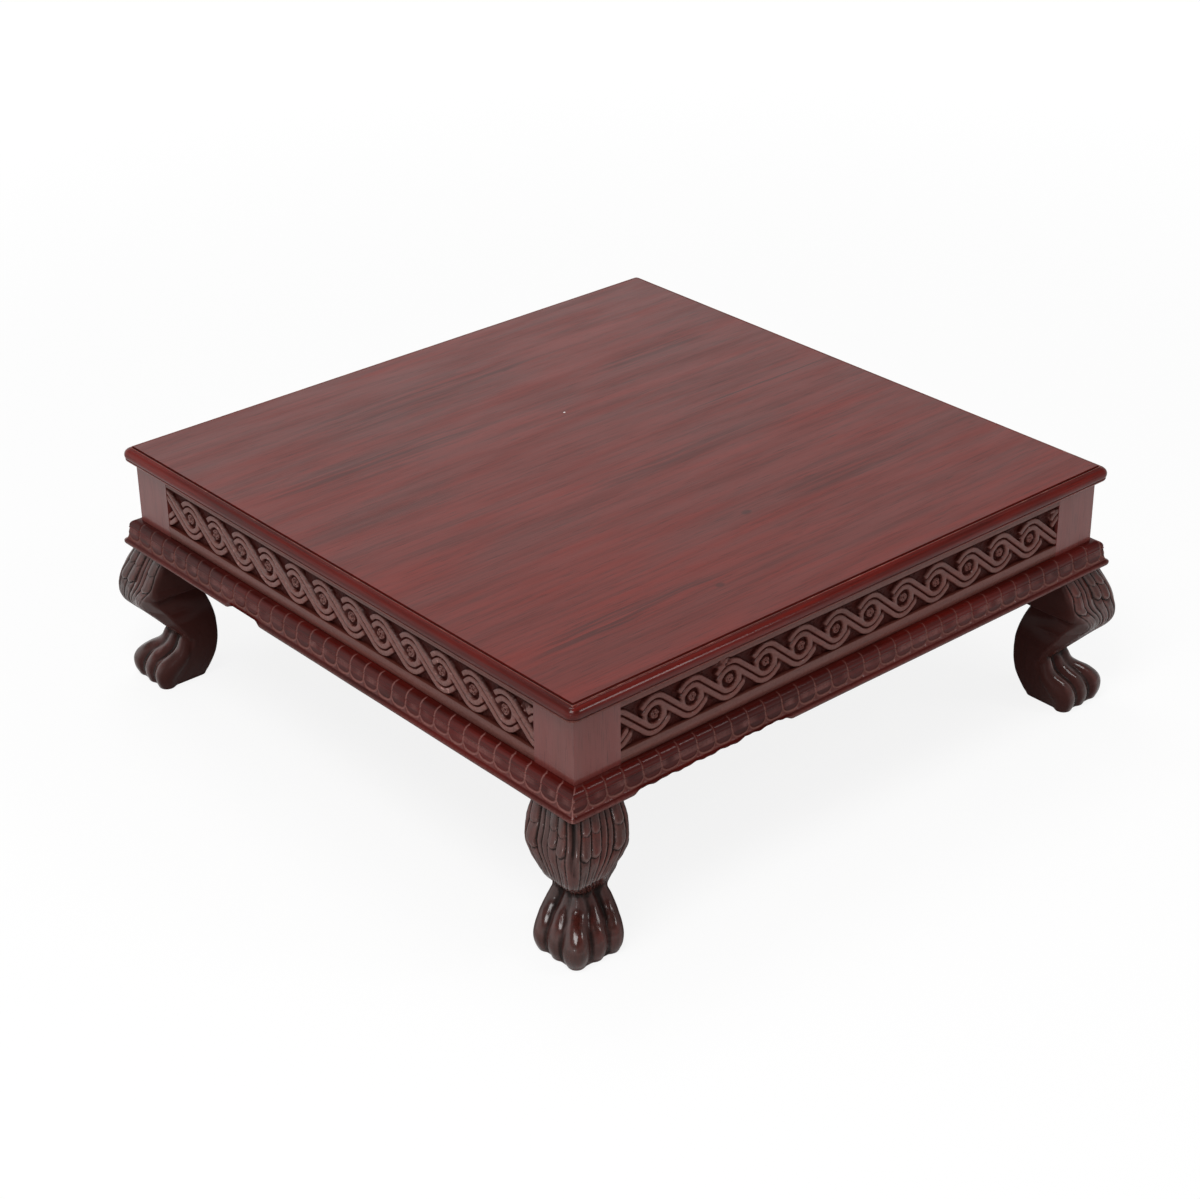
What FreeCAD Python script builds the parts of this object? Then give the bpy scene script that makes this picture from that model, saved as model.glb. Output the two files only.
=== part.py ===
import FreeCAD, Part
import os
from FreeCAD import Vector

# Low carved table on four cabriole legs with lion-paw feet.
# It stands on the floor at z = 0, with its centre over the origin.
# X and Y run along its sides, and the front side faces -Y.

# Heights of the layers, from the floor up
leg_height = 134.0
base_height = 23.0
apron_height = 59.0
top_thickness = 13.0

# Plan sizes: the apron box, and how far the layers stand out past it
box_side = 591.0
top_overhang = 9.5
base_overhang = 14.5
top_corner_radius = 5.0
base_corner_radius = 4.0

# Levels and half widths that follow from those
base_level = leg_height
apron_level = base_level + base_height
top_level = apron_level + apron_height
table_height = top_level + top_thickness
half_box = box_side / 2
half_top = half_box + top_overhang
half_base = half_box + base_overhang

# Top panel and the strips that edge it
edge_width = 9.0
tongue_length = 5.0
tongue_thickness = 4.0
quirk_width = 1.2
quirk_depth = 1.6
bead_width = 2.4
bead_rise = 1.0
shoulder_drop = 8.5
shoulder_bulge_share = 0.74
foot_fillet = 2.4
fillet_nick = 0.8

# Corner posts and the carved rails between them
post_side = 46.0
rail_thickness = 20.0
panel_height = 38.0
panel_depth = 4.0
tenon_length = 12.0
tenon_thickness = 8.0
tenon_height = 35.0

# Base frame: moulded lengths, mitred at the corners
base_width = 60.0
band_height = 4.4
cove_height = 6.6
cove_setback = 4.6
ridge_setback = 5.8
ridge_height = 15.0
ridge_width = 2.0
ridge_rise = 0.9
ovolo_setback = 11.0
cove_bulge_share = 0.26
ovolo_bulge_share = 0.70

# Leg: sawn on two faces from a square blank, knee past the base frame
leg_blank = 65.0
knee_setout = 7.5
head_side = 52.0
head_taper = 6.0
head_setback = 14.5
corner_rounding = 8.0
back_rounding = 4.0
head_side_rounding = 2.0
foot_side_rounding = 2.4
foot_corner_rounding = 12.0

# Sawn outline as shares of the blank's side, from its back, and of the leg's height
knee_shares = [(0.876, 0.903), (0.964, 0.791), (1.0, 0.687), (0.972, 0.606),
               (0.850, 0.537), (0.685, 0.451), (0.520, 0.352)]
ankle_shares = [(0.452, 0.352), (0.446, 0.308), (0.530, 0.250), (0.712, 0.180), (0.830, 0.110), (0.850, 0.0)]
heel_share = (0.177, 0.0)
belly_share = (0.0, 0.345)
back_top_share = (0.160, 0.700)

# Flanks of the knee: half widths as shares of the blank's side, at shares of the leg's height
flank_shares = [(0.735, 0.900), (0.700, 0.845), (0.662, 0.796), (0.626, 0.752), (0.584, 0.705),
                (0.530, 0.648), (0.470, 0.588), (0.400, 0.526), (0.320, 0.452), (0.252, 0.386),
                (0.222, 0.352)]
flank_draw_share = 0.34

# Toes: shares of the blank's side outward and across, of the leg's height, and of the toe's radius
side_toe_radius = 10.4
middle_toe_radius = 10.2
centre_toe_radius = 10.8
side_toe_shares = [(0.365, 0.110, 0.345, 0.50), (0.525, 0.128, 0.260, 0.78), (0.685, 0.182, 0.170, 0.95),
                   (0.780, 0.235, 0.100, 1.0), (0.770, 0.248, 0.040, 0.88), (0.730, 0.258, -0.012, 0.55)]
middle_toe_shares = [(0.375, 0.300, 0.345, 0.50), (0.535, 0.362, 0.260, 0.76), (0.695, 0.440, 0.172, 0.98),
                     (0.785, 0.495, 0.100, 1.0), (0.770, 0.500, 0.040, 0.88), (0.730, 0.490, -0.012, 0.52)]
centre_toe_shares = [(0.382, 0.382, 0.345, 0.50), (0.530, 0.530, 0.262, 0.72), (0.690, 0.690, 0.175, 0.94),
                     (0.776, 0.776, 0.103, 1.0), (0.758, 0.758, 0.042, 0.85), (0.718, 0.718, -0.010, 0.48)]

# Hidden joinery and fastenings
fit_clearance = 0.1
dowel_radius = 5.0
dowel_in_leg = 28.0
dowel_in_post = 20.0
batten_width = 40.0
batten_thickness = 14.0
batten_spacing = 300.0
batten_end_gap = 0.5
block_size = 20.0
block_length = 40.0
block_spacing = 140.0
screw_radius = 2.0
screw_head_radius = 4.0
screw_head_height = 2.5
batten_screw_length = 22.0
batten_screw_spacing = 210.0
frame_screw_length = 40.0
frame_screw_spacing = 260.0

# How far cutting shapes run past what they cut
overrun = 5.0

quarter_turn = 90
diagonal_angle = 45
SIDES = ["front", "right", "back", "left"]
CORNERS = ["front_right", "back_right", "back_left", "front_left"]


def line(start, end):
    return Part.LineSegment(start, end).toShape()


def arc(start, middle, end):
    return Part.Arc(start, middle, end).toShape()


def curve(points):
    spline = Part.BSplineCurve()
    spline.interpolate(points)
    return spline.toShape()


def side_point(reach, height):
    """A point of a cross-section: reach outward from the centre, and height."""
    return Vector(0, -reach, height)


def box(low, high):
    size = high - low
    return Part.makeBox(size.x, size.y, size.z, low)


def turned(shape, quarter):
    """The shape turned about the table's centre by that many quarter turns."""
    copy = shape.copy()
    copy.rotate(Vector(0, 0, 0), Vector(0, 0, 1), quarter_turn * quarter)
    return copy


def mitred_length(section, half_outer, corner_radius, height):
    """A cross-section run along the front side, its ends cut on the diagonals."""
    half_run = half_outer + overrun
    face = Part.Face(Part.Wire(section))
    bar = face.extrude(Vector(2 * half_run, 0, 0))
    bar.translate(Vector(-half_run, 0, 0))
    corners = [Vector(0, 0, 0), Vector(-half_run, -half_run, 0), Vector(half_run, -half_run, 0)]
    wedge = Part.Face(Part.makePolygon(corners + corners[:1])).extrude(Vector(0, 0, height))
    outside = box(Vector(-half_outer, -half_outer, 0), Vector(half_outer, half_outer, height))
    uprights = [edge for edge in outside.Edges if edge.BoundBox.ZLength > height / 2]
    outside = outside.makeFillet(corner_radius, uprights)
    return bar.common(wedge).common(outside)


def edge_strip():
    """Front strip round the top: quirk, bead, rounded shoulder and a small foot fillet."""
    inner = half_top - edge_width
    tongue_low = top_level + (top_thickness - tongue_thickness) / 2
    tongue_high = tongue_low + tongue_thickness
    quirk_floor = table_height - quirk_depth
    bead_start = inner + quirk_width
    bead_end = bead_start + bead_width
    shoulder_foot = table_height - shoulder_drop
    shoulder_width = half_top - bead_end
    shoulder_height = quirk_floor - shoulder_foot
    fillet_top = top_level + foot_fillet
    shoulder_middle = side_point(bead_end + shoulder_width * shoulder_bulge_share,
                                 shoulder_foot + shoulder_height * shoulder_bulge_share)
    section = [
        line(side_point(inner, top_level), side_point(inner, tongue_low)),
        line(side_point(inner, tongue_low), side_point(inner - tongue_length, tongue_low)),
        line(side_point(inner - tongue_length, tongue_low), side_point(inner - tongue_length, tongue_high)),
        line(side_point(inner - tongue_length, tongue_high), side_point(inner, tongue_high)),
        line(side_point(inner, tongue_high), side_point(inner, quirk_floor)),
        line(side_point(inner, quirk_floor), side_point(bead_start, quirk_floor)),
        arc(side_point(bead_start, quirk_floor),
            side_point(bead_start + bead_width / 2, quirk_floor + bead_rise),
            side_point(bead_end, quirk_floor)),
        arc(side_point(bead_end, quirk_floor), shoulder_middle, side_point(half_top, shoulder_foot)),
        line(side_point(half_top, shoulder_foot), side_point(half_top - fillet_nick, fillet_top)),
        line(side_point(half_top - fillet_nick, fillet_top), side_point(half_top, fillet_top)),
        line(side_point(half_top, fillet_top), side_point(half_top, top_level)),
        line(side_point(half_top, top_level), side_point(inner, top_level)),
    ]
    return mitred_length(section, half_top, top_corner_radius, table_height)


def top_panel():
    """Flat square panel, grooved round its edge for the strips' tongues."""
    half_panel = half_top - edge_width
    half_core = half_panel - tongue_length
    tongue_low = top_level + (top_thickness - tongue_thickness) / 2
    tongue_high = tongue_low + tongue_thickness
    panel = box(Vector(-half_panel, -half_panel, top_level), Vector(half_panel, half_panel, table_height))
    groove = box(Vector(-half_top, -half_top, tongue_low), Vector(half_top, half_top, tongue_high))
    core = box(Vector(-half_core, -half_core, tongue_low), Vector(half_core, half_core, tongue_high))
    panel = panel.cut(groove.cut(core))
    for screw in batten_screws():
        panel = panel.cut(screw_hole(screw))
    return panel


def base_length():
    """Front length of the base frame: band, cove, ridge line and ovolo up to the apron."""
    inner = half_base - base_width
    cove_top = base_level + band_height + cove_height
    band_top = base_level + band_height
    ridge_low = base_level + ridge_height
    ridge_high = ridge_low + ridge_width
    cove_end = half_base - cove_setback
    ridge_foot = half_base - ridge_setback
    ovolo_end = half_base - ovolo_setback
    cove_middle = side_point(half_base - cove_setback * (1 - cove_bulge_share),
                             band_top + cove_height * cove_bulge_share)
    ovolo_middle = side_point(ovolo_end + (ridge_foot - ovolo_end) * ovolo_bulge_share,
                              ridge_high + (apron_level - ridge_high) * ovolo_bulge_share)
    section = [
        line(side_point(inner, base_level), side_point(half_base, base_level)),
        line(side_point(half_base, base_level), side_point(half_base, band_top)),
        arc(side_point(half_base, band_top), cove_middle, side_point(cove_end, cove_top)),
        line(side_point(cove_end, cove_top), side_point(ridge_foot, ridge_low)),
        arc(side_point(ridge_foot, ridge_low),
            side_point(ridge_foot + ridge_rise, ridge_low + ridge_width / 2),
            side_point(ridge_foot, ridge_high)),
        arc(side_point(ridge_foot, ridge_high), ovolo_middle, side_point(ovolo_end, apron_level)),
        line(side_point(ovolo_end, apron_level), side_point(inner, apron_level)),
        line(side_point(inner, apron_level), side_point(inner, base_level)),
    ]
    length = mitred_length(section, half_base, base_corner_radius, apron_level)
    for corner in (-1, 0):
        length = length.cut(dowel_hole(turned(dowel(), corner)))
    for screw in frame_screws_of_front():
        length = length.cut(screw_hole(screw))
    return length


def tenon(direction):
    """Tenon at one end of the front rail: direction is -1 or 1 along X."""
    start = direction * (half_box - post_side)
    end = direction * (half_box - post_side + tenon_length)
    middle_y = -half_box + rail_thickness / 2
    middle_z = apron_level + apron_height / 2
    low = Vector(min(start, end), middle_y - tenon_thickness / 2, middle_z - tenon_height / 2)
    high = Vector(max(start, end), middle_y + tenon_thickness / 2, middle_z + tenon_height / 2)
    return box(low, high)


def rail():
    """Front rail: the sunk panel of its face runs from post to post."""
    half_run = half_box - post_side
    foot = Vector(-half_run, -half_box, apron_level)
    body = box(foot, Vector(half_run, -half_box + rail_thickness, top_level))
    panel_low = apron_level + (apron_height - panel_height) / 2
    sinking = box(Vector(-half_run, -half_box, panel_low),
                  Vector(half_run, -half_box + panel_depth, panel_low + panel_height))
    body = body.cut(sinking)
    body = body.fuse([tenon(-1), tenon(1)]).removeSplitter()
    for screw in frame_screws_of_front():
        body = body.cut(screw_hole(screw))
    return body


def post():
    """Front right post, mortised for the two rails that meet in it."""
    inner = half_box - post_side
    block = box(Vector(inner, -half_box, apron_level), Vector(half_box, -inner, top_level))
    block = block.cut(tenon(1))
    block = block.cut(turned(tenon(-1), 1))
    return block.cut(dowel_hole(dowel()))


def dowel_place():
    """The head's centre, on the diagonal of the front right corner."""
    reach = half_base + knee_setout - head_setback - head_side / 2
    return Vector(reach, -reach, leg_height - dowel_in_leg)


def dowel():
    """Dowel up through the front right leg, the mitre and the post."""
    length = dowel_in_leg + base_height + dowel_in_post
    return Part.makeCylinder(dowel_radius, length, dowel_place())


def dowel_hole(pin):
    """The drilled hole of a dowel, wider and deeper by the clearance."""
    centre = pin.BoundBox.Center
    length = pin.BoundBox.ZLength + 2 * fit_clearance
    foot = Vector(centre.x, centre.y, pin.BoundBox.ZMin - fit_clearance)
    return Part.makeCylinder(dowel_radius + fit_clearance, length, foot)


def blank_inner():
    """Distance from the table's centre to the back of the blank that the leg is sawn from."""
    return half_base + knee_setout - leg_blank


def leg_point(share):
    """A point of the sawn outline, from shares of the blank's side and the leg's height."""
    return Vector(blank_inner() + leg_blank * share[0], 0, leg_height * share[1])


def leg_outline():
    """Head, bulging knee, leaf edge, ankle, foot core, and the curved back up to the head."""
    head_outer = half_base + knee_setout - head_setback
    head_inner = head_outer - head_side
    seat_outer = Vector(head_outer, 0, leg_height)
    seat_inner = Vector(head_inner, 0, leg_height)
    back_top = leg_point(back_top_share)
    head_foot = Vector(head_inner + head_taper, 0, back_top.z)
    ankle = [leg_point(share) for share in ankle_shares]
    knee = [seat_outer] + [leg_point(share) for share in knee_shares]
    return [
        curve(knee),
        line(knee[-1], ankle[0]),
        curve(ankle),
        line(ankle[-1], leg_point(heel_share)),
        arc(leg_point(heel_share), leg_point(belly_share), back_top),
        line(back_top, head_foot),
        line(head_foot, seat_inner),
        line(seat_inner, seat_outer),
    ]


def sawn(section):
    """The outline sawn through the blank on one face, then on the face beside it."""
    reach = half_base + knee_setout + overrun
    first = Part.Face(Part.Wire(section)).extrude(Vector(0, reach, 0))
    second = first.mirror(Vector(0, 0, 0), Vector(1, -1, 0))
    return first.common(second)


def diagonal_edges(solid, low, high, outer):
    """Upright edges on the leg's diagonal between two heights: its outer corner or its back."""
    middle = blank_inner() + leg_blank / 2
    chosen = []
    for edge in solid.Edges:
        ends = [vertex.Point for vertex in edge.Vertexes]
        on_diagonal = all(abs(point.x - point.y) < fit_clearance for point in ends)
        in_reach = edge.BoundBox.ZMin > low - fit_clearance and edge.BoundBox.ZMax < high + fit_clearance
        upright = edge.BoundBox.ZLength > fit_clearance
        if on_diagonal and in_reach and upright and (edge.CenterOfMass.x > middle) == outer:
            chosen.append(edge)
    return chosen


def side_edges(solid, low, high):
    """Upright edges between two heights where an outer face meets a side face."""
    half_ankle = leg_blank * min(reach for reach, height in ankle_shares) / 2
    chosen = []
    for edge in solid.Edges:
        ends = [vertex.Point for vertex in edge.Vertexes]
        off_diagonal = all(abs(point.x - point.y) > half_ankle for point in ends)
        in_reach = edge.BoundBox.ZMin > low - fit_clearance and edge.BoundBox.ZMax < high + fit_clearance
        if off_diagonal and in_reach and edge.BoundBox.ZLength > fit_clearance:
            chosen.append(edge)
    return chosen


def flank_waste():
    """Third sawing: what comes off one flank of the knee, down to the leaf's edge."""
    flank = [Vector(leg_blank * width, 0, leg_height * height) for width, height in flank_shares]
    beside = 2 * leg_blank
    above = Vector(beside, 0, flank[0].z)
    below = Vector(beside, 0, flank[-1].z)
    outline = [line(above, flank[0]), curve(flank), line(flank[-1], below), line(below, above)]
    outwards = Vector(-flank_draw_share, 1, 0)
    waste = Part.Face(Part.Wire(outline)).extrude(outwards * beside)
    waste.translate(outwards * -leg_blank)
    waste.rotate(Vector(0, 0, 0), Vector(0, 0, 1), -diagonal_angle)
    middle = blank_inner() + leg_blank / 2
    waste.translate(Vector(middle, middle, 0))
    return waste


def toe(sections, radius):
    """One toe, lofted through circles that stand square to the way it bends."""
    inner = blank_inner()
    centres = [Vector(inner + leg_blank * reach, inner + leg_blank * across, leg_height * height)
               for reach, across, height, girth in sections]
    rings = []
    for place, (reach, across, height, girth) in enumerate(sections):
        before = centres[max(place - 1, 0)]
        after = centres[min(place + 1, len(centres) - 1)]
        ring = Part.Circle(centres[place], after - before, radius * girth).toShape()
        rings.append(Part.Wire([ring]))
    return Part.makeLoft(rings, True, False)


def toes():
    """Five toes that fan out round the foot, the middle one on the diagonal."""
    one_side = [toe(side_toe_shares, side_toe_radius), toe(middle_toe_shares, middle_toe_radius)]
    other_side = [shape.mirror(Vector(0, 0, 0), Vector(1, -1, 0)) for shape in one_side]
    return one_side + other_side + [toe(centre_toe_shares, centre_toe_radius)]


def leg():
    """Back right leg: a square post sawn to a double curve, with a lion's paw."""
    body = sawn(leg_outline())
    leaf_edge = leg_point(knee_shares[-1]).z
    ledge = leg_point(back_top_share).z
    body = body.makeFillet(foot_side_rounding, side_edges(body, 0, leaf_edge))
    body = body.makeFillet(foot_corner_rounding, diagonal_edges(body, 0, leaf_edge, True))
    body = body.makeFillet(corner_rounding, diagonal_edges(body, leaf_edge, leg_height, True))
    body = body.makeFillet(back_rounding, diagonal_edges(body, 0, leg_height, False))
    body = body.makeFillet(head_side_rounding, side_edges(body, ledge, leg_height))
    waste = flank_waste()
    body = body.cut([waste, waste.mirror(Vector(0, 0, 0), Vector(1, -1, 0))])
    body = body.fuse(toes()).removeSplitter()
    reach = half_base + knee_setout + overrun
    above_floor = box(Vector(0, 0, 0), Vector(reach, reach, leg_height))
    return body.common(above_floor).cut(dowel_hole(turned(dowel(), 1)))


def batten():
    """Right batten: keeps the panel flat, between the front and back rails."""
    half_run = half_box - rail_thickness - batten_end_gap
    low = Vector(batten_spacing / 2 - batten_width / 2, -half_run, top_level - batten_thickness)
    high = Vector(batten_spacing / 2 + batten_width / 2, half_run, top_level)
    plank = box(low, high)
    for screw in batten_screws():
        plank = plank.cut(screw_hole(screw))
    return plank


def wood_screw(foot, length):
    """Countersunk screw driven up from its foot."""
    head = Part.makeCone(screw_head_radius, screw_radius, screw_head_height, foot)
    shank = Part.makeCylinder(screw_radius, length - screw_radius, foot)
    tip_foot = Vector(foot.x, foot.y, foot.z + length - screw_radius)
    tip = Part.makeCone(screw_radius, 0, screw_radius, tip_foot)
    return head.fuse([shank, tip]).removeSplitter()


def screw_hole(screw):
    """The hole of an upright screw: its own shape, wider by the clearance."""
    bounds = screw.BoundBox
    foot = Vector(bounds.Center.x, bounds.Center.y, bounds.ZMin)
    bore_radius = screw_radius + fit_clearance
    sink = Part.makeCone(screw_head_radius + fit_clearance, bore_radius, screw_head_height, foot)
    bore = Part.makeCylinder(bore_radius, bounds.ZLength + fit_clearance, foot)
    return sink.fuse(bore)


def batten_screws():
    """Three screws up through each batten into the panel."""
    batten_level = top_level - batten_thickness
    screws = []
    for side in (-1, 1):
        for place in (-1, 0, 1):
            foot = Vector(side * batten_spacing / 2, place * batten_screw_spacing, batten_level)
            screws.append(wood_screw(foot, batten_screw_length))
    return screws


def frame_screws_of_front():
    """Two screws up through the front base length into its rail."""
    reach = half_box - rail_thickness / 2
    feet = [Vector(side * frame_screw_spacing / 2, -reach, base_level) for side in (-1, 1)]
    return [wood_screw(foot, frame_screw_length) for foot in feet]


def glue_blocks_of_front():
    """Two corner blocks that tie the front rail to the underside of the panel."""
    face = -half_box + rail_thickness
    section = [Vector(0, face, top_level), Vector(0, face + block_size, top_level),
               Vector(0, face, top_level - block_size)]
    blocks = []
    for side in (-1, 1):
        block = Part.Face(Part.makePolygon(section + section[:1])).extrude(Vector(block_length, 0, 0))
        block.translate(Vector(side * block_spacing / 2 - block_length / 2, 0, 0))
        blocks.append(block)
    return blocks


def all_round(shapes):
    """Copies of the front's shapes on all four sides."""
    return [turned(shape, quarter) for quarter in range(len(SIDES)) for shape in shapes]


def write(name, shapes):
    """One node: a single solid, or a group of separate ones."""
    shape = shapes[0] if len(shapes) == 1 else Part.makeCompound(shapes)
    shape.exportStep(os.path.join("parts", name + ".step"))
    print(name, len(shape.Solids), round(shape.Volume), shape.isValid())


def main():
    os.makedirs("parts", exist_ok=True)
    write("top_panel", [top_panel()])
    strip = edge_strip()
    carved_rail = rail()
    moulded_length = base_length()
    for quarter, side in enumerate(SIDES):
        write("top_edge_" + side, [turned(strip, quarter)])
        write("carved_rail_" + side, [turned(carved_rail, quarter)])
        write("base_moulding_" + side, [turned(moulded_length, quarter)])
    corner_post = post()
    carved_leg = turned(leg(), -1)
    for quarter, corner in enumerate(CORNERS):
        write("corner_post_" + corner, [turned(corner_post, quarter)])
        write("leg_" + corner, [turned(carved_leg, quarter)])
    write("batten_right", [batten()])
    write("batten_left", [turned(batten(), 2)])
    write("glue_blocks", all_round(glue_blocks_of_front()))
    write("leg_dowels", all_round([dowel()]))
    write("batten_screws", batten_screws())
    write("frame_screws", all_round(frame_screws_of_front()))


main()
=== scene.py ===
import math

import bpy
import numpy as np
from mathutils import Matrix, Vector


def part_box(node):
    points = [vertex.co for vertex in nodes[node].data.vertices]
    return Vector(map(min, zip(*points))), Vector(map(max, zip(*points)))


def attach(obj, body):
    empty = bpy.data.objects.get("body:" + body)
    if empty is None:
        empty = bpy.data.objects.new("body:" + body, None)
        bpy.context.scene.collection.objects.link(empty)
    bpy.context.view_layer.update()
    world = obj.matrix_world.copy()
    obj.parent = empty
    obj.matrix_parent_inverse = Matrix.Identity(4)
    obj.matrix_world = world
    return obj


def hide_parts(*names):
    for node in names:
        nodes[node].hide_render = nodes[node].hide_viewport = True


# Looks of a low carved table on four lion-paw legs. Lengths are in millimetres in
# the row frame until a mesh is made: Z up, the front side faces -Y.

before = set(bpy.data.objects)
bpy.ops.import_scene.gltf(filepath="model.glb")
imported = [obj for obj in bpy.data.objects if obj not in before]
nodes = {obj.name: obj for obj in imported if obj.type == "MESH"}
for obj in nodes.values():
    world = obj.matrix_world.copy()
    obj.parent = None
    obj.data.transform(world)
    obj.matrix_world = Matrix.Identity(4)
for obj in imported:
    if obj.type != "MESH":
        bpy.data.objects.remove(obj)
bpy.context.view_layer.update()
MM = 0.001
SIDES = ["front", "right", "back", "left"]
CORNERS = ["front_left", "front_right", "back_right", "back_left"]


def high(node, axis):
    """A node's highest reach along an axis, in millimetres."""
    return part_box(node)[1][axis] / MM


def low(node, axis):
    """A node's lowest reach along an axis, in millimetres."""
    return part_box(node)[0][axis] / MM


# Sizes that the solids give
TOP_LEVEL = high("top_panel", 2)
APRON_TOP = high("carved_rail_front", 2)
APRON_FOOT = low("carved_rail_front", 2)
BASE_FOOT = low("base_moulding_front", 2)
HALF_TOP = high("top_edge_right", 0)
HALF_PANEL = high("top_panel", 0)
HALF_BASE = high("base_moulding_right", 0)
HALF_KNEE = high("leg_front_right", 0)
HALF_BOX = high("corner_post_front_right", 0)
POST = HALF_BOX - low("corner_post_front_right", 0)
HALF_RUN = HALF_BOX - POST


# Meshes
NOISE_CELLS = 64


def smooth(edge0, edge1, value):
    """Eases from nought at edge0 to one at edge1."""
    share = np.clip((value - edge0) / (edge1 - edge0), 0.0, 1.0)
    return share * share * (3.0 - 2.0 * share)


def bump(value, centre, width):
    """A soft ridge one unit high."""
    return np.exp(-((value - centre) / width) ** 2)


def value_noise(seed, x, y, cell_x, cell_y):
    """Smooth seeded noise between -1 and 1."""
    grid = np.random.default_rng(seed).uniform(-1.0, 1.0, (NOISE_CELLS, NOISE_CELLS))
    u = np.asarray(x) / cell_x
    v = np.asarray(y) / cell_y
    column = np.floor(u).astype(int)
    row = np.floor(v).astype(int)
    share_u = smooth(0.0, 1.0, u - column)
    share_v = smooth(0.0, 1.0, v - row)

    def corner(right, up):
        return grid[(column + right) % NOISE_CELLS, (row + up) % NOISE_CELLS]

    near = corner(0, 0) * (1 - share_u) + corner(1, 0) * share_u
    far = corner(0, 1) * (1 - share_u) + corner(1, 1) * share_u
    return near * (1 - share_v) + far * share_v


def arc_points(start, middle, end, count):
    """Points on the circle through three points of a cross-section."""
    (ax, ay), (bx, by), (cx, cy) = start, middle, end
    d = 2 * (ax * (by - cy) + bx * (cy - ay) + cx * (ay - by))
    ux = ((ax**2 + ay**2) * (by - cy) + (bx**2 + by**2) * (cy - ay) + (cx**2 + cy**2) * (ay - by)) / d
    uy = ((ax**2 + ay**2) * (cx - bx) + (bx**2 + by**2) * (ax - cx) + (cx**2 + cy**2) * (bx - ax)) / d
    angle = [math.atan2(y - uy, x - ux) for x, y in (start, middle, end)]
    sweep = (angle[2] - angle[0]) % (2 * math.pi)
    if (angle[1] - angle[0]) % (2 * math.pi) > sweep:
        sweep -= 2 * math.pi
    radius = math.hypot(ax - ux, ay - uy)
    turn = angle[0] + sweep * np.linspace(0.0, 1.0, count)
    return list(zip(ux + radius * np.cos(turn), uy + radius * np.sin(turn)))


def line_points(start, end, count):
    """Points on the straight line between two points of a cross-section."""
    share = np.linspace(0.0, 1.0, count)
    return [(start[0] + (end[0] - start[0]) * t, start[1] + (end[1] - start[1]) * t) for t in share]


def joined(*runs):
    """Runs of points one after the other, each shared end kept once."""
    points = []
    for run in runs:
        points += run if not points else run[1:]
    return points


def turned(x, y, quarter):
    """A place turned by quarters round the table's middle."""
    for _ in range(quarter):
        x, y = -y, x
    return x, y


def to_side(along, out, up, quarter):
    """Places given for the front side, turned to another side."""
    x, y = turned(along, -out, quarter)
    return np.stack([x, y, up], axis=-1)


def make_piece(name, points, faces, fields, material, replaced):
    """A mesh piece in the row frame, with its point fields, riding on the body."""
    mesh = bpy.data.meshes.new(name)
    mesh.from_pydata((points * MM).tolist(), [], faces)
    mesh.update()
    for field, values in fields.items():
        values = np.asarray(values, dtype=np.float32)
        kind = "FLOAT_VECTOR" if values.ndim == 2 else "FLOAT"
        attribute = mesh.attributes.new(field, kind, "POINT")
        attribute.data.foreach_set("vector" if values.ndim == 2 else "value", values.ravel())
    mesh.polygons.foreach_set("use_smooth", [True] * len(mesh.polygons))
    mesh.materials.append(material)
    piece = bpy.data.objects.new(name, mesh)
    bpy.context.scene.collection.objects.link(piece)
    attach(piece, "root")
    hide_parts(replaced)
    return piece


# how much further across the wood the grain of each next side is taken, in metres
SIDE_GRAIN_STEP = 0.7
SHARP_ANGLE = 60.0


def swept(name, section, stations, place, quarter, material, replaced):
    """A closed cross-section carried along one side. place(station, k) gives each point's
    run along the side, reach outward, height and fields."""
    count = len(section)
    rows = len(stations)
    along, out, up, fields = place(stations[:, None], np.arange(count)[None, :])
    points = to_side(along, out, up, quarter).reshape(-1, 3)
    flat = {key: value.reshape(-1) for key, value in fields.items()}
    flat["grain"] = np.stack([along, out, up], axis=-1).reshape(-1, 3) * MM
    flat["grain"][:, 1] += SIDE_GRAIN_STEP * quarter
    index = np.arange(rows * count).reshape(rows, count)
    ahead = np.roll(index, -1, axis=1)
    quads = np.stack([index[:-1], index[1:], ahead[1:], ahead[:-1]], axis=-1).reshape(-1, 4)
    faces = quads.tolist() + [index[0].tolist(), index[-1][::-1].tolist()]
    piece = make_piece(name, points, faces, flat, material, replaced)
    piece.data.polygons[-1].use_smooth = False
    piece.data.polygons[-2].use_smooth = False
    piece.data.set_sharp_from_angle(angle=math.radians(SHARP_ANGLE))


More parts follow.
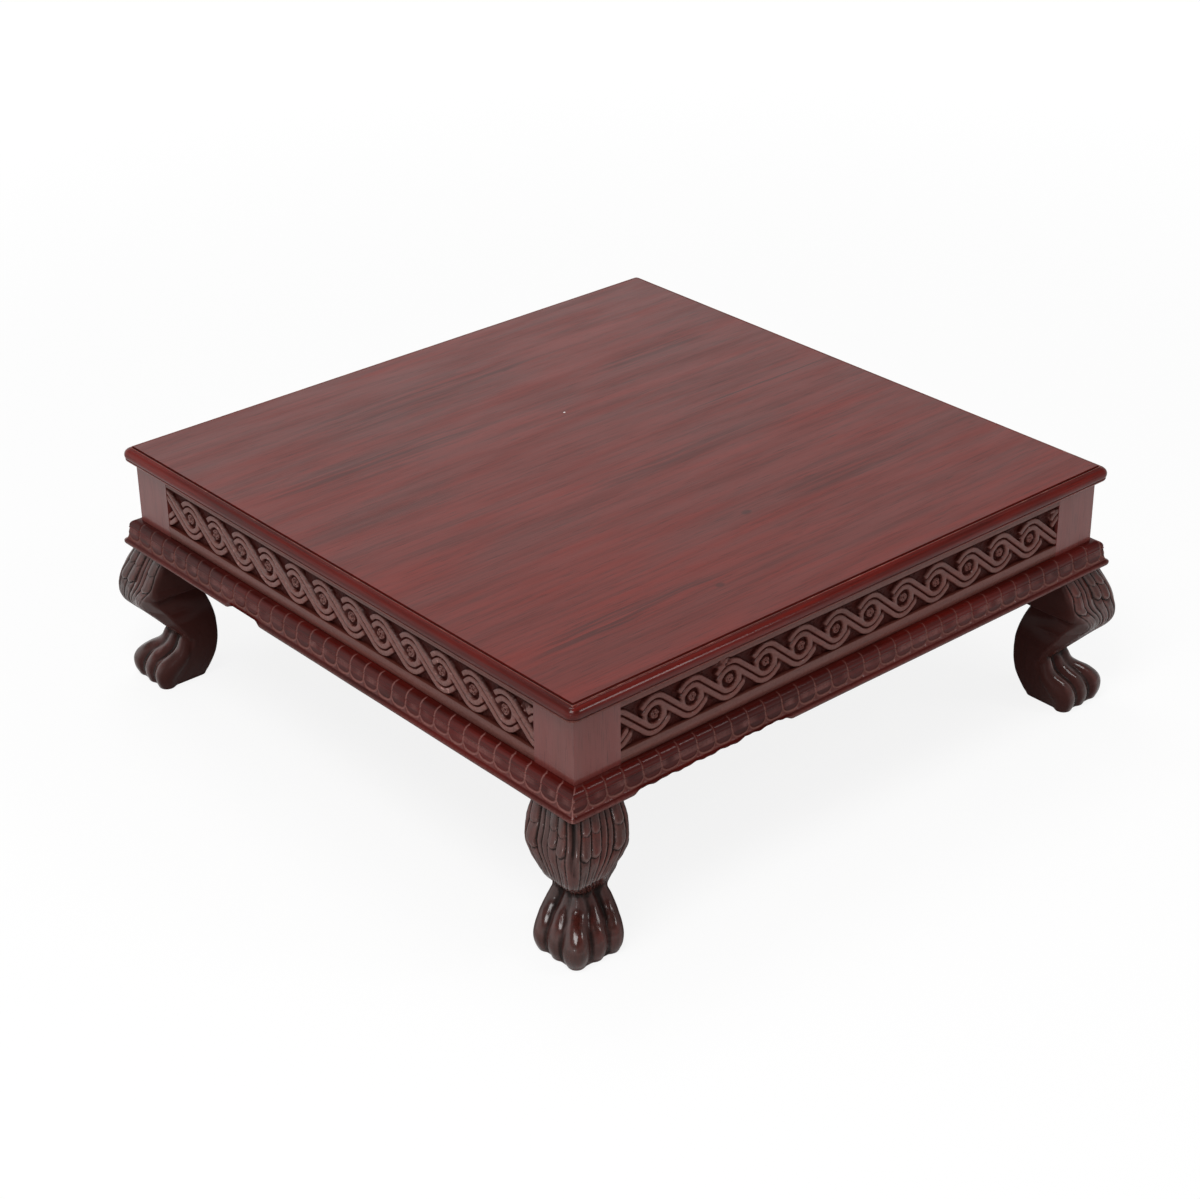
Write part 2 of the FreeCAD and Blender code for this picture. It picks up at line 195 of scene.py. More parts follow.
# Materials
class Nodes:
    """Small helper that writes one tree of shader nodes."""

    def __init__(self, tree):
        self.tree = tree

    def add(self, kind, inputs=(), **settings):
        """A new node with its settings; an input takes a socket or a value."""
        node = self.tree.nodes.new(kind)
        for key, value in settings.items():
            setattr(node, key, value)
        for key, value in dict(inputs).items():
            self.set(node, key, value)
        return node

    def set(self, node, key, value):
        if isinstance(value, bpy.types.NodeSocket):
            self.tree.links.new(value, node.inputs[key])
        else:
            node.inputs[key].default_value = value

    def math(self, operation, a, b=0.0, clamp=False):
        return self.add("ShaderNodeMath", {0: a, 1: b}, operation=operation, use_clamp=clamp).outputs[0]

    def mix(self, share, a, b):
        """A colour that goes from a to b as share goes from nought to one."""
        return self.add("ShaderNodeMix", {0: share, 6: a, 7: b}, data_type="RGBA").outputs[2]

    def noise(self, vector, scale, detail=3.0, roughness=0.55, distortion=0.0):
        inputs = {"Vector": vector, "Scale": scale, "Detail": detail, "Roughness": roughness}
        inputs["Distortion"] = distortion
        return self.add("ShaderNodeTexNoise", inputs).outputs["Fac"]

    def stretch(self, vector, scale):
        return self.add("ShaderNodeMapping", {"Vector": vector, "Scale": scale}).outputs[0]

    def ramp(self, value, low_end, high_end, to_low=0.0, to_high=1.0):
        """Eases from to_low to to_high as value goes from low_end to high_end."""
        inputs = {"Value": value, "From Min": low_end, "From Max": high_end}
        inputs.update({"To Min": to_low, "To Max": to_high})
        node = self.add("ShaderNodeMapRange", inputs, clamp=True, interpolation_type="SMOOTHSTEP")
        return node.outputs[0]

    def attribute(self, name):
        return self.add("ShaderNodeAttribute", attribute_name=name, attribute_type="GEOMETRY")

    def bumped(self, height, strength, distance, normal=None):
        inputs = {"Height": height, "Strength": strength, "Distance": distance}
        if normal is not None:
            inputs["Normal"] = normal
        return self.add("ShaderNodeBump", inputs).outputs[0]


class Finish(Nodes):
    """One material and its nodes."""

    def __init__(self, name):
        self.material = bpy.data.materials.new(name)
        self.material.use_nodes = True
        super().__init__(self.material.node_tree)
        self.shader = self.tree.nodes["Principled BSDF"]


def rgb(red, green, blue):
    return (red, green, blue, 1.0)


# noise scales of the wood, per metre: along, across and up
FIBRE_SCALE = (9.0, 260.0, 260.0)
PORE_SCALE = (45.0, 1400.0, 1400.0)
CLOUD_SCALE = (4.0, 30.0, 30.0)
PATCH_SCALE = (7.0, 48.0, 48.0)
SPECK_SCALE = 420.0
PORE_COLOUR = rgb(0.012, 0.003, 0.002)
VARNISH_IOR = 1.5


def stained_wood(name, grain, dark, body, red, shade_and_lines=None, wear_and_highlight=None, bare=None, roughness=0.34,
                 gloss=0.5, figure=1.0, shine=0.22, coat_roughness=0.09):
    """Stained hardwood under varnish. grain gives the place as (along, across, up). The next two colours are
    painted shade in cuts and hollows (on the base mouldings, the incised lines' own colour) and painted
    highlights on ridges mixed with rubbed wear; bare is the colour of plain sawn faces."""
    finish = Finish(name)
    place = grain(finish)
    fibres = finish.noise(finish.stretch(place, FIBRE_SCALE), 1.0, 4.0, 0.6)
    pores = finish.noise(finish.stretch(place, PORE_SCALE), 1.0, 2.0, 0.5)
    clouds = finish.noise(finish.stretch(place, CLOUD_SCALE), 1.0, 3.0, 0.55, 0.6)
    patches = finish.noise(finish.stretch(place, PATCH_SCALE), 1.0, 3.0, 0.6)
    specks = finish.noise(place, SPECK_SCALE, 2.0, 0.7)
    colour = finish.mix(finish.ramp(clouds, 0.35, 0.68), body, red)
    between = finish.math("SUBTRACT", 1.0, finish.ramp(fibres, 0.30, 0.62))
    colour = finish.mix(finish.math("MULTIPLY", between, 0.55 * figure), colour, dark)
    pore = finish.ramp(pores, 0.30, 0.42, 1.0, 0.0)
    colour = finish.mix(finish.math("MULTIPLY", pore, 0.45), colour, PORE_COLOUR)
    rough = finish.ramp(patches, 0.3, 0.7, roughness - 0.06, roughness + 0.08)
    coat = finish.ramp(patches, 0.25, 0.75, 1.15 * gloss, 0.85 * gloss)
    # painted shade: cuts and hollows darkened by the cut field; on the base mouldings this tints the incised
    # lines instead
    if shade_and_lines:
        depth = finish.attribute("shade_and_lines").outputs["Fac"]
        colour = finish.mix(finish.ramp(depth, 0.0, 1.0), colour, shade_and_lines)
        rough = finish.math("ADD", rough, finish.math("MULTIPLY", depth, 0.2))
        coat = finish.math("MULTIPLY", coat, finish.ramp(depth, 0.0, 0.9, 1.0, 0.1))
    # painted highlights on ridges, beads and mitres, mixed with rubbed wear and broken up by specks
    if wear_and_highlight:
        rub = finish.attribute("wear_and_highlight").outputs["Fac"]
        ragged = finish.math("MULTIPLY", rub, finish.ramp(specks, 0.3, 0.6, 0.55, 1.15), clamp=True)
        colour = finish.mix(ragged, colour, wear_and_highlight)
    if bare:
        matt = finish.attribute("bare").outputs["Fac"]
        colour = finish.mix(matt, colour, bare)
        rough = finish.math("ADD", rough, finish.math("MULTIPLY", matt, 0.25))
        varnished = finish.math("SUBTRACT", 1.0, finish.math("MULTIPLY", matt, 0.85))
        coat = finish.math("MULTIPLY", coat, varnished)
    finish.colour = colour
    finish.place = place
    finish.set(finish.shader, "Base Color", colour)
    finish.set(finish.shader, "Roughness", rough)
    finish.set(finish.shader, "Coat Weight", coat)
    height = finish.math("ADD", finish.math("MULTIPLY", fibres, 0.6), finish.math("MULTIPLY", pores, 0.4))
    finish.set(finish.shader, "Normal", finish.bumped(height, 0.25, 0.00025))
    soft = finish.bumped(specks, 0.18, 0.00025, finish.bumped(patches, 0.35, 0.0006))
    finish.set(finish.shader, "Coat Normal", soft)
    finish.shader.inputs["Specular IOR Level"].default_value = shine
    finish.shader.inputs["Coat Roughness"].default_value = coat_roughness
    finish.shader.inputs["Coat IOR"].default_value = VARNISH_IOR
    return finish


def row_grain(turn):
    """Grain from the row frame itself, its axes swapped by a turn."""
    def place(finish):
        coordinate = finish.add("ShaderNodeTexCoord").outputs["Object"]
        return finish.add("ShaderNodeMapping", {"Vector": coordinate, "Rotation": turn}).outputs[0]
    return place


def piece_grain(finish):
    """Grain from the field that a piece carries."""
    return finish.attribute("grain").outputs["Vector"]


def spot(finish, x, y, half_x, half_y, soft):
    """One within an ellipse on the top, nought outside; places and sizes in millimetres."""
    separate = finish.add("ShaderNodeSeparateXYZ", {0: finish.place})
    across = finish.math("DIVIDE", finish.math("SUBTRACT", separate.outputs[0], x * MM), half_x * MM)
    up = finish.math("DIVIDE", finish.math("SUBTRACT", separate.outputs[1], y * MM), half_y * MM)
    reach = finish.math("ADD", finish.math("MULTIPLY", across, across), finish.math("MULTIPLY", up, up))
    return finish.ramp(reach, 1.0 - soft, 1.0 + soft, 1.0, 0.0)


LEVEL = (0.0, 0.0, 0.0)
UPRIGHT = (0.0, math.pi / 2, 0.0)
DEEP = rgb(0.024, 0.002, 0.001)

panel_finish = stained_wood(
    "panel_finish", row_grain(LEVEL), dark=rgb(0.040, 0.007, 0.005), body=rgb(0.125, 0.018, 0.014),
    red=rgb(0.160, 0.016, 0.011), gloss=0.30, figure=0.66, shine=0.12)
post_finish = stained_wood(
    "post_finish", row_grain(UPRIGHT), dark=rgb(0.10, 0.018, 0.014), body=rgb(0.165, 0.036, 0.031),
    red=rgb(0.150, 0.034, 0.028), figure=0.32, gloss=0.4)
# Below, the colour for cuts is painted shade in cuts and hollows, except on the base mouldings, where it is
# the incised lines' own colour; the colour for ridges is painted highlights mixed with rubbed wear.
moulding_finish = stained_wood(
    "moulding_finish", piece_grain, dark=DEEP, body=rgb(0.040, 0.003, 0.002), red=rgb(0.090, 0.005, 0.003),
    shade_and_lines=rgb(0.150, 0.062, 0.052), wear_and_highlight=rgb(0.22, 0.090, 0.080), gloss=0.28, shine=0.05,
    coat_roughness=0.16)
edge_finish = stained_wood(
    "edge_finish", piece_grain, dark=DEEP, body=rgb(0.080, 0.007, 0.005), red=rgb(0.130, 0.008, 0.005),
    shade_and_lines=rgb(0.012, 0.002, 0.002), wear_and_highlight=rgb(0.30, 0.12, 0.09), gloss=0.32, shine=0.06)
carved_finish = stained_wood(
    "carved_finish", piece_grain, dark=rgb(0.060, 0.017, 0.012), body=rgb(0.112, 0.033, 0.025),
    red=rgb(0.125, 0.029, 0.021), shade_and_lines=rgb(0.040, 0.005, 0.003), wear_and_highlight=rgb(0.36, 0.18, 0.16),
    roughness=0.42, gloss=0.30, shine=0.10)
leg_finish = stained_wood(
    "leg_finish", piece_grain, dark=rgb(0.018, 0.005, 0.003), body=rgb(0.048, 0.013, 0.009),
    red=rgb(0.078, 0.012, 0.008), shade_and_lines=rgb(0.008, 0.002, 0.001), wear_and_highlight=rgb(0.15, 0.066, 0.054),
    bare=rgb(0.035, 0.007, 0.005), roughness=0.31, gloss=0.72, shine=0.12, coat_roughness=0.14)
inner_finish = stained_wood(
    "inner_finish", row_grain(LEVEL), dark=rgb(0.10, 0.045, 0.02), body=rgb(0.22, 0.10, 0.05),
    red=rgb(0.28, 0.13, 0.07), roughness=0.6, gloss=0.0)


def steel():
    """Bright steel with grime in patches."""
    finish = Finish("screw_finish")
    place = finish.add("ShaderNodeTexCoord").outputs["Object"]
    grime = finish.noise(place, 900.0, 3.0)
    colour = finish.mix(finish.ramp(grime, 0.4, 0.7), rgb(0.42, 0.41, 0.39), rgb(0.16, 0.13, 0.11))
    finish.set(finish.shader, "Base Color", colour)
    finish.set(finish.shader, "Roughness", finish.ramp(grime, 0.3, 0.7, 0.28, 0.5))
    finish.shader.inputs["Metallic"].default_value = 1.0
    finish.set(finish.shader, "Normal", finish.bumped(grime, 0.2, 0.0002))
    return finish


screw_finish = steel()


def dress(name, finish):
    """Gives a CAD node that stays its material."""
    piece = nodes[name]
    if not piece.material_slots:
        piece.data.materials.append(finish.material)
    for place in piece.material_slots:
        place.material = finish.material


# What this board shows, in millimetres on the top: place, half sizes and, for the streaks, strength
STREAKS = [(-150, 126, 112, 20, 0.55), (180, 142, 62, 18, 0.45), (-180, -224, 98, 15, 0.65),
           (60, -40, 150, 12, 0.35), (-60, 210, 150, 24, 0.4), (150, -150, 90, 26, 0.35)]
STREAK_COLOUR = rgb(0.022, 0.005, 0.004)
FLAME = (-205, 44, 78, 26)
FLAME_COLOUR = rgb(0.030, 0.006, 0.004)
BOARD_KNOTS = [(12, -158, 5.0, 3.2), (-92, -236, 4.2, 2.8)]
KNOT_COLOUR = rgb(0.012, 0.004, 0.003)
CRACK = (214, 24, 96, 0.8)
CRACK_COLOUR = rgb(0.016, 0.004, 0.003)
DUST = (30.0, 96.0, 1.1, 0.8)
DUST_COLOUR = rgb(0.75, 0.72, 0.70)


def panel_figure(finish):
    """Adds the dark streaks, a pointed flame, knots, a crack line and a speck of dust."""
    place = finish.add("ShaderNodeSeparateXYZ", {0: finish.place})
    x, y = place.outputs[0], place.outputs[1]
    wave = finish.noise(finish.stretch(finish.place, (6.0, 14.0, 1.0)), 1.0, 2.0)
    sway = finish.math("MULTIPLY", finish.math("SUBTRACT", wave, 0.5), 0.022)
    bent = finish.math("ADD", y, sway)
    spread = {0: finish.math("MULTIPLY", x, 3.0), 1: finish.math("MULTIPLY", bent, 190.0)}
    lines = finish.noise(finish.add("ShaderNodeCombineXYZ", spread).outputs[0], 1.0, 3.0, 0.6)
    streaky = finish.ramp(lines, 0.38, 0.60, 1.0, 0.0)
    colour = finish.colour
    for *where, strength in STREAKS:
        dark = finish.math("MULTIPLY", streaky, strength)
        share = finish.math("MULTIPLY", spot(finish, *where, 0.7), dark)
        colour = finish.mix(share, colour, STREAK_COLOUR)
    # the flame: nested points towards the right
    aside = finish.math("ABSOLUTE", finish.math("SUBTRACT", bent, FLAME[1] * MM))
    point = finish.math("ADD", finish.math("MULTIPLY", aside, 7.0), x)
    rings = finish.math("SINE", finish.math("MULTIPLY", point, 520.0))
    flame = finish.math("MULTIPLY", spot(finish, *FLAME, 0.6), finish.ramp(rings, -0.1, 0.9))
    colour = finish.mix(finish.math("MULTIPLY", flame, 0.5), colour, FLAME_COLOUR)
    for where in BOARD_KNOTS:
        colour = finish.mix(finish.math("MULTIPLY", spot(finish, *where, 0.8), 0.5), colour, KNOT_COLOUR)
    crack = finish.math("MULTIPLY", spot(finish, *CRACK, 0.8), 0.7)
    colour = finish.mix(crack, colour, CRACK_COLOUR)
    normal = finish.add("ShaderNodeNewGeometry").outputs["Normal"]
    upward = finish.add("ShaderNodeSeparateXYZ", {0: normal}).outputs[2]
    on_top = finish.math("GREATER_THAN", upward, 0.5)
    dust = finish.math("MULTIPLY", spot(finish, *DUST, 0.3), on_top)
    colour = finish.mix(dust, colour, DUST_COLOUR)
    finish.set(finish.shader, "Base Color", colour)


panel_figure(panel_finish)
dress("top_panel", panel_finish)
for node in ["batten_right", "batten_left", "glue_blocks", "leg_dowels"]:
    dress(node, inner_finish)
for node in ["batten_screws", "frame_screws"]:
    dress(node, screw_finish)

POST_ROUNDING = 0.4
for corner in CORNERS:
    dress("corner_post_" + corner, post_finish)
    rounding = nodes["corner_post_" + corner].modifiers.new("rounding", "BEVEL")
    rounding.width = POST_ROUNDING * MM
    rounding.segments = 2
    rounding.limit_method = "ANGLE"


# Carved rails: sizes of the woven band, RIBBON and PANEL_HALF being half widths
EYES = 12
PITCH = 39.0
STRAND_RADIUS = 12.65
STRAND_TILT = math.asin(2 * STRAND_RADIUS / PITCH)
STRAND_DROP = 0.25
RIBBON = 5.15
PANEL_HALF = 19.0
GROUND = 4.0
PANEL_MIDDLE = (APRON_FOOT + APRON_TOP) / 2
EYE_LEVEL = PANEL_MIDDLE - 0.5
# by side: how far from a crossing the upper end of a passing strand starts, the boss's rise and
# radius, and how far the eye's inner strip lies below the face on its left and on its right
HOOK = {"front": 7.2, "right": 8.0, "back": 7.2, "left": 9.2}
BOSS_RISE = {"front": 0.4, "right": 0.8, "back": 0.4, "left": 1.0}
BOSS = {"front": 4.3, "right": 4.6, "back": 4.3, "left": 5.0}
RING_DEPTH = {"front": (1.3, 0.9), "right": (1.6, 1.0), "back": (1.3, 0.9), "left": (2.6, 1.1)}
# leafy bits that fill the band's ends, and one rough knot on the front rim: along, up, reaches
LEAVES = {"front": [(-243.0, 173.5, 9.0, 6.5), (243.0, 199.0, 8.0, 6.0)],
          "right": [(-243.0, 173.5, 9.0, 6.0)],
          "back": [(243.0, 199.0, 8.0, 6.0)],
          "left": [(241.0, 199.0, 10.0, 6.5)]}
RIM_KNOTS = {"front": [(-144.0, 203.0, 12.0, 5.0)]}


def strand_parts():
    """Arcs and diagonals of the two strands, for eyes past both ends, as (kind, centre, sign)."""
    for number in range(-1, EYES + 1):
        centre = (number - (EYES - 1) / 2) * PITCH
        yield "arc", centre, 1
        yield "arc", centre, -1
    for number in range(-2, EYES + 1):
        centre = (number + 0.5 - (EYES - 1) / 2) * PITCH
        yield "over", centre, 1
        yield "under", centre, -1


def ribbon_height(distance):
    """Two rounded strips with a cut between them, and steep sides."""
    across = np.abs(distance)
    cut = -1.7 * np.clip(1.25 - across / 0.8, 0, 1)
    crown = -0.35 * np.abs((across - 2.9) / 2.2) ** 2.5
    wall = -GROUND * smooth(RIBBON - 0.15, RIBBON + 0.5, across)
    return cut + np.maximum(crown, -0.6) + wall


def strand_relief(s, z, side):
    """The two woven strands: arcs round the eyes, and diagonals that cross between them."""
    relief = np.full(s.shape, -GROUND)
    half_diagonal = math.sqrt((PITCH / 2) ** 2 - STRAND_RADIUS ** 2)
    for kind, centre, sign in strand_parts():
        aside = s - centre
        if kind == "arc":
            within = np.abs(np.arctan2(aside, z * sign)) <= STRAND_TILT
            height = ribbon_height(np.hypot(aside, z) - STRAND_RADIUS)
        else:
            # how far along the diagonal from the crossing, and across it
            slope_s = math.cos(STRAND_TILT)
            slope_z = -math.sin(STRAND_TILT) * sign
            run = aside * slope_s + z * slope_z
            across = z * slope_s - aside * slope_z
            within = np.abs(run) <= half_diagonal
            height = ribbon_height(across)
            if kind == "under":
                hook = HOOK[side] + 1.4 * np.sign(across) * (np.abs(across) > 0.4)
                above = 3.7 * (1 - smooth(hook, hook + 2.4, run))
                below = 1.9 * (1 - smooth(4.5, 10.5, -run))
                height = height - np.where(run > 0, above, below)
        height = np.where(within, height - STRAND_DROP, -GROUND)
        relief = np.maximum(relief, np.maximum(height, -GROUND))
    return relief


def eye_relief(relief, s, z, chips, side):
    """The strands' relief with each eye's inner strip and boss added."""
    nearest = (np.round(s / PITCH - 0.5) + 0.5) * PITCH
    real_eye = np.abs(nearest) < EYES / 2 * PITCH
    across = s - nearest
    radius = np.hypot(across, z)
    # the inner strip closes round the eye between the strands, lower than they are
    sideways = smooth(0.62, 0.86, np.abs(across) / np.maximum(radius, 1e-6))
    sunk = RING_DEPTH[side][0] * (across < 0) + RING_DEPTH[side][1] * (across >= 0)
    walls = smooth(7.4, 6.8, radius) + smooth(12.4, 13.4, radius)
    ring = 0.5 * bump(radius, 9.6, 1.8) - sunk - GROUND * walls - 1.2 * (1 - sideways)
    relief = np.where(real_eye & (sideways > 0), np.maximum(relief, ring), relief)
    above = z - BOSS_RISE[side]
    reach = np.hypot(across, above) / BOSS[side]
    petals = 0.25 * np.cos(5 * np.arctan2(above, across) + nearest) * smooth(0.3, 0.7, reach)
    dot_and_line = 2.6 * bump(reach, 0.0, 0.19) + 0.7 * bump(reach, 0.55, 0.09)
    boss = petals + chips - 0.45 - 0.45 * reach ** 2 - dot_and_line
    boss = np.where((reach < 1.1) & real_eye, boss, -GROUND)
    return np.maximum(relief, boss - 3.0 * smooth(0.86, 1.06, reach))


def guilloche(along, up, seed, side):
    """Relief of the woven band, from the face of the rail."""
    s = along + value_noise(seed, along, up, 31.0, 400.0) * 0.6
    z = up - EYE_LEVEL + value_noise(seed + 1, along, up, 27.0, 30.0) * 0.4
    inside = np.abs(up - PANEL_MIDDLE) < PANEL_HALF
    chips = value_noise(seed + 3, along, up, 2.4, 2.2) * 0.35
    relief = eye_relief(strand_relief(s, z, side), s, z, chips, side)
    chatter = value_noise(seed + 2, along, up, 2.6, 2.1) * 0.35 * (relief < -GROUND + 0.3)
    relief = np.where(inside, np.maximum(relief + chatter, -GROUND), 0.0)
    for leaf_s, leaf_z, reach_s, reach_z in LEAVES[side]:
        lumps = value_noise(seed + 5, along, up, 3.4, 2.8) * 1.1
        lumps = lumps + value_noise(seed + 6, along, up, 1.7, 1.6) * 0.5
        reach = np.hypot((along - leaf_s) / reach_s, (up - leaf_z) / reach_z)
        leaf = lumps - 1.6 - 2.4 * smooth(0.6, 1.0, reach)
        free = (relief < -1.2) & inside
        relief = np.where(free, np.maximum(relief, leaf), relief)
    for knot_s, knot_z, reach_s, reach_z in RIM_KNOTS.get(side, []):
        rough = np.minimum(value_noise(seed + 8, along, up, 2.6, 2.2) * 1.2 - 1.2, 0.0)
        share = 1 - smooth(0.55, 1.0, np.hypot((along - knot_s) / reach_s, (up - knot_z) / reach_z))
        relief = relief * (1 - share) + rough * share
    cutting = value_noise(seed + 9, along, up, 1.9, 6.0) * 0.05
    cutting = cutting + value_noise(seed + 10, along, up, 14.0, 9.0) * 0.08
    return np.minimum(relief + cutting - 0.1, 0.0)


def rail_section():
    """Heights up the rail's face, close together on the carving, then its two back corners."""
    panel_foot = PANEL_MIDDLE - PANEL_HALF
    panel_top = PANEL_MIDDLE + PANEL_HALF
    below = [APRON_FOOT, APRON_FOOT + 0.4, 160.0, 163.5, 166.3, panel_foot]
    carved = list(np.arange(panel_foot + 0.2, panel_top - 0.1, 0.44))
    above = [panel_top, 205.5, 206.1, 206.8, 207.6, 208.5, 210.0, 212.0, APRON_TOP - 0.4, APRON_TOP]
    return np.array(below + carved + above + [APRON_TOP, APRON_FOOT])


RAIL_THICKNESS = 20.0
RAIL_ARRIS = 0.35
RAIL_SEED = 20
rail_heights = rail_section()
rail_stations = np.linspace(-HALF_RUN, HALF_RUN, 951)


def rail_place(seed, side):
    """What swept asks for a carved rail."""
    def place(station, k):
        up = rail_heights[k] + 0 * station
        along = station + 0 * up
        face = k < len(rail_heights) - 2
        relief = np.where(face, guilloche(along, up, seed, side), 0.0)
        arris = np.where((k == 0) | (k == len(rail_heights) - 3), -RAIL_ARRIS, 0.0)
        out = np.where(face, HALF_BOX + relief + arris, HALF_BOX - RAIL_THICKNESS)
        # painted shade in the carving's deep and shallow cuts
        deep = np.where(face, smooth(-2.0, -3.6, relief), 0.0)
        shallow = np.where(face, smooth(-0.75, -1.7, relief) * (1 - deep) * 0.7, 0.0)
        off_middle = np.abs(up - PANEL_MIDDLE)
        # the raised strands and bosses and the rims come out paler, on the left side much paler and speckled
        strip = (relief > -1.0) & (off_middle < PANEL_HALF - 0.2) & face
        rim = 0.12 * ((off_middle > PANEL_HALF) & face)
        specks = smooth(0.70, 0.95, value_noise(seed + 12, along, up, 3.1, 2.6))
        specks = specks * smooth(0.1, 0.7, value_noise(seed + 13, along, up, 34.0, 60.0))
        paler = (0.12 + (0.16 + 0.9 * specks) * (side == "left")) * strip + rim
        return along, out, up, {"shade_and_lines": np.clip(deep + shallow, 0, 1), "wear_and_highlight": np.clip(paler, 0, 1)}
    return place


for quarter, side in enumerate(SIDES):
    swept("guilloche_rail_" + side, rail_heights, rail_stations, rail_place(RAIL_SEED + quarter, side),
          quarter, carved_finish.material, "carved_rail_" + side)


# Base mouldings: from the foot up a belly, a flat facet, a bead and a shoulder. The incised cells
# are CELL wide; each ends below CELL_CENTRE in a U that is CELL_DROP deep
BASE_WIDTH = 60.0
BASE_RUN = 290.0
BELLY_FOOT = BASE_FOOT + 3.4
FACET_FOOT = BASE_FOOT + 11.0
BEAD_FOOT = BASE_FOOT + 15.0
BEAD_TOP = BASE_FOOT + 17.0
BASE_CORNER = 6.0
CELL = 18.45
CELL_CENTRE = BASE_FOOT + 14.0
CELL_DROP = 7.6
CELL_POWER = 3.0
LINE_DEPTH = 0.7
LINE_REACH = 0.62
LINE_PHASE = {"front": -4.6, "right": 0.0, "back": 2.0, "left": -0.2}
base_inner = HALF_BASE - BASE_WIDTH
base_face = joined(
    arc_points((HALF_BASE - 2.2, BASE_FOOT), (HALF_BASE - 0.4, BASE_FOOT + 1.2), (HALF_BASE, BELLY_FOOT), 7),
    arc_points((HALF_BASE, BELLY_FOOT), (306.9, BASE_FOOT + 5.6), (305.4, FACET_FOOT), 18),
    line_points((305.4, FACET_FOOT), (304.2, BEAD_FOOT), 8),
    arc_points((304.2, BEAD_FOOT), (304.7, BASE_FOOT + 16.0), (304.2, BEAD_TOP), 7),
    arc_points((304.2, BEAD_TOP), (302.65, BASE_FOOT + 21.2), (299.0, APRON_FOOT), 16),
)
base_hidden = [(HALF_BOX, APRON_FOOT), (base_inner, APRON_FOOT), (base_inner, BASE_FOOT), (285.0, BASE_FOOT),
               (302.0, BASE_FOOT), (307.0, BASE_FOOT)]
base_section = np.array(base_face + base_hidden)
face_count = len(base_face)
section_ahead = np.roll(base_section, -1, axis=0) - np.roll(base_section, 1, axis=0)
section_normal = np.stack([section_ahead[:, 1], -section_ahead[:, 0]], axis=1)
section_normal /= np.linalg.norm(section_normal, axis=1)[:, None]


def mitred_run(station, out, run):
    """Stations past the run fan out to the mitre; inner rows shrink with their reach."""
    shrunk = np.minimum(run, 0.94 * out)
    share = np.clip(np.abs(station) - 1.0, 0.0, 1.0)
    body = np.minimum(np.abs(station), 1.0) * shrunk
    return np.sign(station) * (body + share * (out - shrunk))


def corner_rounded(along, out, radius):
    """The upright corner of each row rounded in plan, each row with its own radius."""
    radius = np.maximum(radius, 0.01)
    core = out - radius
    beyond = np.abs(along) - core
    scale = radius / np.hypot(beyond, radius)
    along = np.where(beyond > 0, np.sign(along) * (core + beyond * scale), along)
    out = np.where(beyond > 0, core + radius * scale, out)
    return along, out


def side_stations(mitre_count, run_count):
    """Stations from -2 to 2: the run lies between -1 and 1, and the mitres outside it."""
    mitre = np.linspace(1, 2, mitre_count)[1:]
    return np.concatenate([-mitre[::-1], np.linspace(-1, 1, run_count), mitre])


def coin_distance(along, up, seed, phase):
    """Distance to the incised outline of each cell: upright lines with a U foot."""
    bow = 0.35 * np.sin((up - BASE_FOOT) * 0.25 + seed) + value_noise(seed, along, up, 55.0, 900.0) * 0.9
    u = (along - phase + bow) / CELL
    cell = np.abs(u - np.round(u)) * 2
    foot_jitter = value_noise(seed + 5, np.round(u) * 10.0, 0 * up, 10.0, 10.0) * 0.4
    drop = np.clip((CELL_CENTRE - up) / (CELL_DROP + foot_jitter), 0, None)
    total = np.maximum((cell ** CELL_POWER + drop ** CELL_POWER) ** (1 / CELL_POWER), 1e-6)
    slope_along = (cell / total) ** (CELL_POWER - 1) / (CELL / 2)
    slope_up = (drop / total) ** (CELL_POWER - 1) / CELL_DROP
    return (1 - total) / np.maximum(np.hypot(slope_along, slope_up), 1e-3)


def worn_arris(along, side):
    """How far the bottom arris is rubbed up on the left and the front side."""
    if side == "left":
        return 4.6 * smooth(-146, -138, along) * (1 - smooth(-103, -95, along))
    if side == "front":
        wave = 0.6 * np.sin(along * 0.23) + 0.4 * np.sin(along * 0.51 + 1.0)
        first = (3.2 + wave) * smooth(-249, -240, along) * (1 - smooth(-141, -134, along))
        second = (4.4 + wave) * smooth(-141, -132, along) * (1 - smooth(-90, -80, along))
        return np.maximum(first + second, 0.0)
    return 0.0 * along


